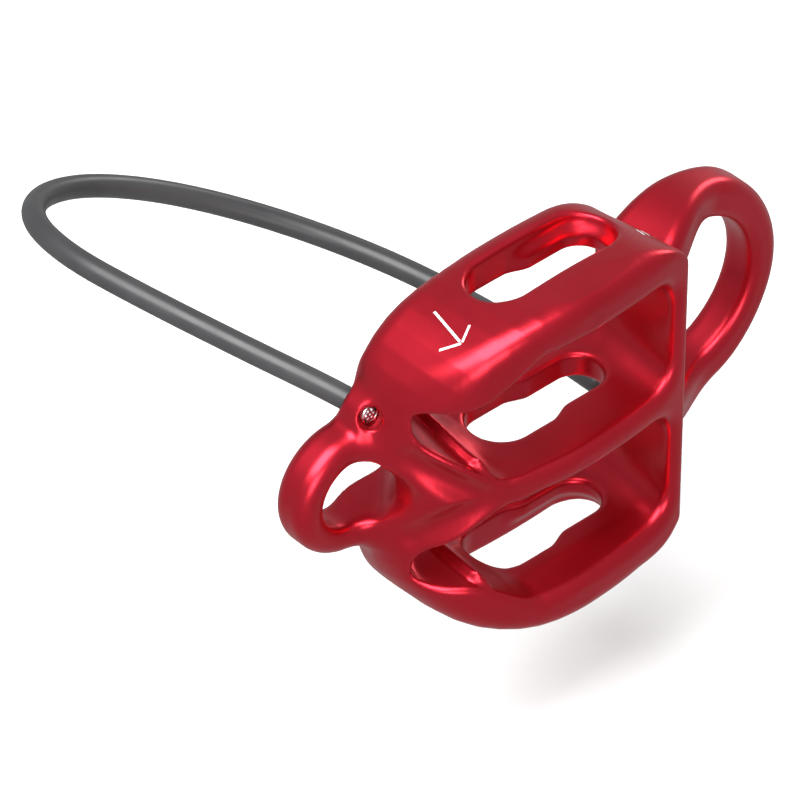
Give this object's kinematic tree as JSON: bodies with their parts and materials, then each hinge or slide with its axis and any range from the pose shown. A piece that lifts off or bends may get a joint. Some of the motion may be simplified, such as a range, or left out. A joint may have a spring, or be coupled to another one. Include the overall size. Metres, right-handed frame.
{
  "type": "belay device",
  "caption": "Guide-mode belay device: forged body with twin rope slots, anchor ring, release ring and a sheathed wire keeper loop.",
  "frame": {"origin": "centre of the box around the forged body", "axes": "+X from the release ring to the anchor ring, +Y from the rope mouths to the keeper loop, +Z across the two rope slots"},
  "size_m": [0.0884, 0.0826, 0.054],
  "materials": {
    "anodised": "satin red anodised",
    "sheath": "satin extruded plastic",
    "wire": "drawn galvanised steel",
    "ferrule": "swaged and plated"
  },
  "bodies": {
    "device": {"body": "anodised", "ferrule_nose": "ferrule", "ferrule_wall": "ferrule"},
    "keeper": {"cable_sheath": "sheath", "wire_rope": "wire"}
  },
  "joints": [
    {"name": "keeper_flex", "type": "hinge", "parent": "device", "child": "keeper", "pos_m": [-0.0305, 0.01075, 0.0112], "axis": [0.8956, 0, -0.4448], "range_deg": [-25, 25], "stiffness_Nm_per_rad": 0.1, "deforming": ["cable_sheath", "wire_rope"]}
  ]
}
